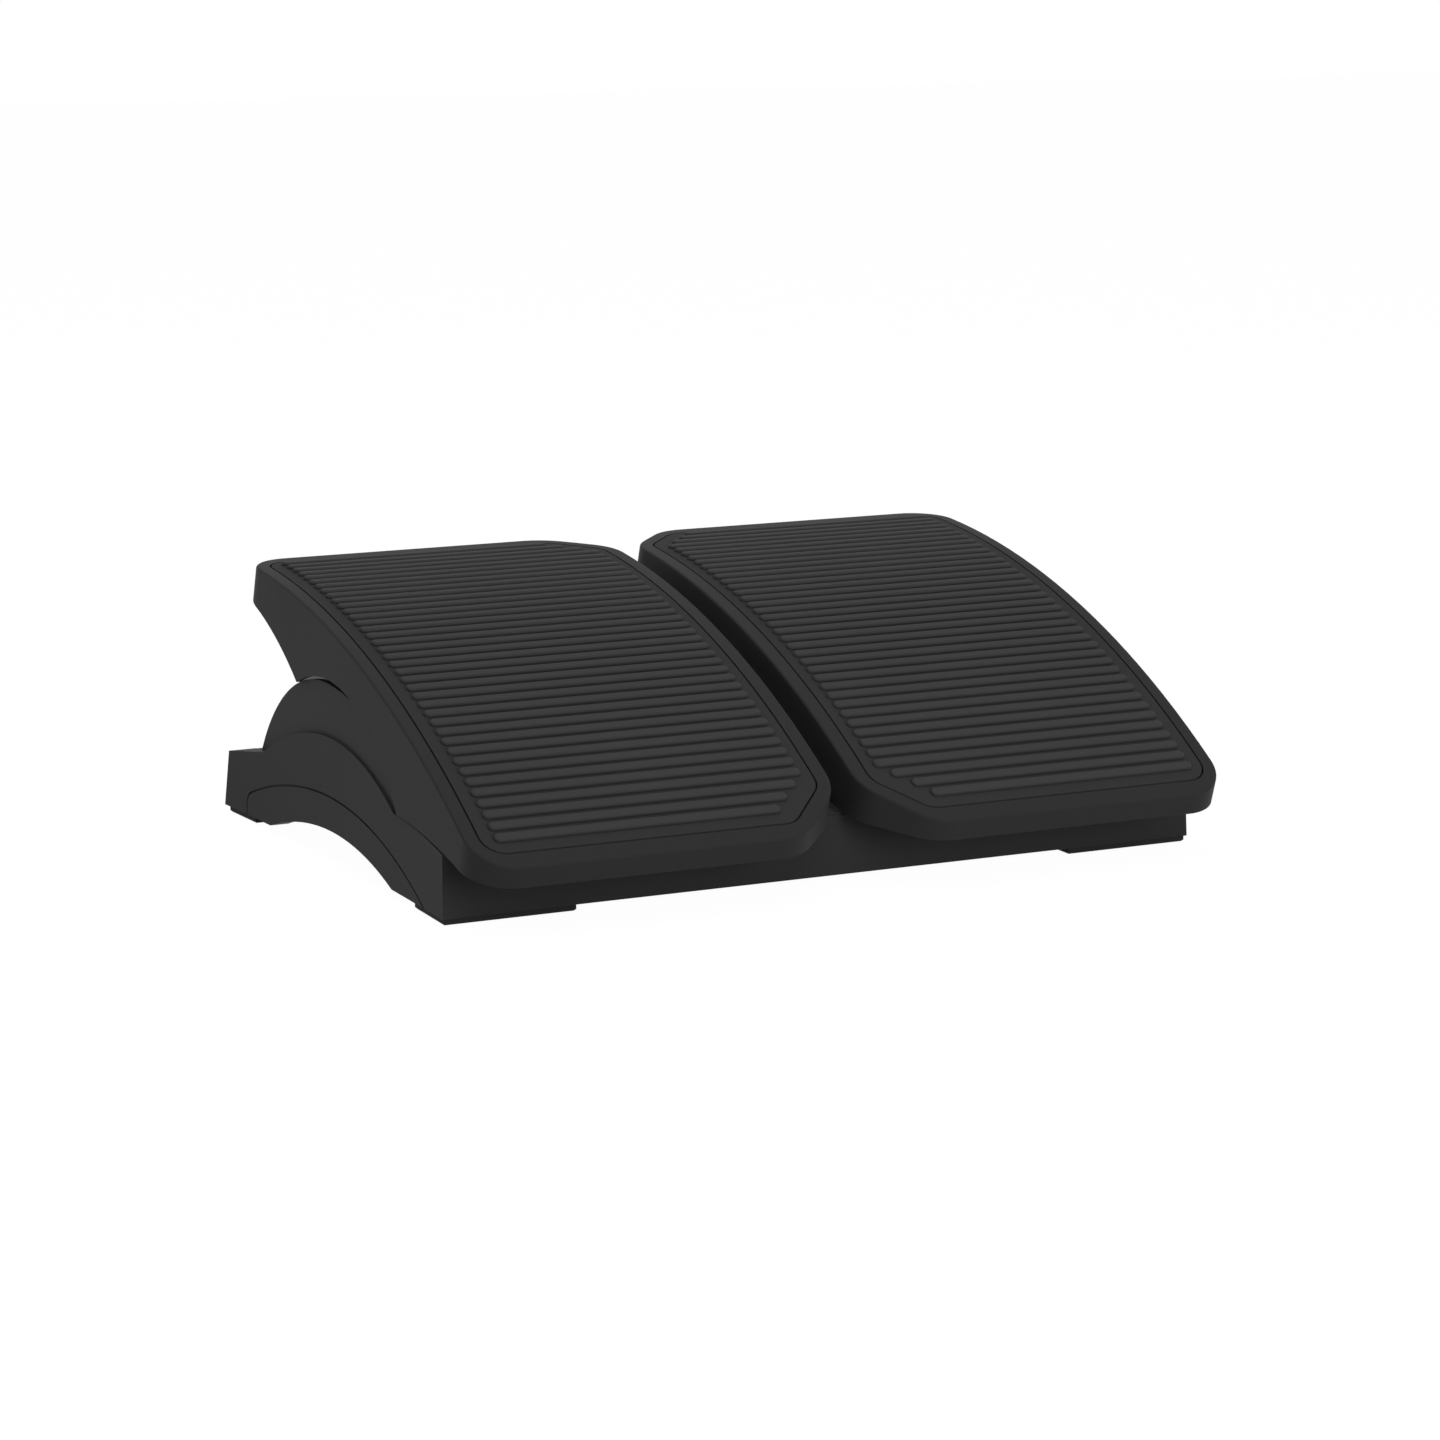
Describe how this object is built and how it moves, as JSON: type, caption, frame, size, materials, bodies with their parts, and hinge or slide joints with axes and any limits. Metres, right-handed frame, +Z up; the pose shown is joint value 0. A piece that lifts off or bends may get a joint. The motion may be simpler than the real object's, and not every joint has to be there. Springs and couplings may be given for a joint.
{
  "type": "tilting under desk footrest",
  "caption": "Low moulded floor frame with arched sides carrying a pair of curved ribbed foot pedals that rock separately about one cross axle.",
  "frame": {"origin": "on the floor, under the middle of the outer box of the rest pose", "axes": "+X towards the right pedal, +Y towards the rear (away from the user's heels), +Z up"},
  "size_m": [0.4596, 0.3587, 0.1486],
  "materials": {
    "base_plastic": "fine-grained black moulding, matt",
    "pedal_plastic": "fine-grained black moulding, soft satin on the rim",
    "tread_rubber": "matt charcoal rubber with raised rounded ribs",
    "foot_rubber": "soft matt black",
    "bearing_plastic": "smooth dark bearing grade",
    "black_steel": "black powder coat",
    "steel": "bright drawn bar",
    "zinc_screws": "zinc plated"
  },
  "bodies": {
    "base": {"axle_block_screws": "zinc_screws", "axle_rod": "steel", "bearer_screws": "zinc_screws", "centre_bearer": "base_plastic", "frame_screws": "zinc_screws", "front_buffers": "foot_rubber", "front_left_foot": "foot_rubber", "front_rail": "base_plastic", "front_right_foot": "foot_rubber", "left_axle_block": "bearing_plastic", "left_side_frame": "base_plastic", "left_stop_pin": "steel", "rear_left_foot": "foot_rubber", "rear_rail": "base_plastic", "rear_right_foot": "foot_rubber", "right_axle_block": "bearing_plastic", "right_side_frame": "base_plastic", "right_stop_pin": "steel", "thrust_washers": "bearing_plastic"},
    "left_pedal": {"left_pedal_shell": "pedal_plastic", "left_tread_pad": "tread_rubber", "left_outer_hinge_rib": "black_steel", "left_inner_hinge_rib": "black_steel", "left_cross_bars": "black_steel", "left_pivot_bushes": "bearing_plastic", "left_pedal_screws": "zinc_screws"},
    "right_pedal": {"right_pedal_shell": "pedal_plastic", "right_tread_pad": "tread_rubber", "right_outer_hinge_rib": "black_steel", "right_inner_hinge_rib": "black_steel", "right_cross_bars": "black_steel", "right_pivot_bushes": "bearing_plastic", "right_pedal_screws": "zinc_screws"}
  },
  "joints": [
    {"name": "left_pedal_tilt", "type": "hinge", "parent": "base", "child": "left_pedal", "pos_m": [0, 0.038, 0.078], "axis": [-1, 0, 0], "range_deg": [0, 20]},
    {"name": "right_pedal_tilt", "type": "hinge", "parent": "base", "child": "right_pedal", "pos_m": [0, 0.038, 0.078], "axis": [-1, 0, 0], "range_deg": [0, 20]}
  ]
}
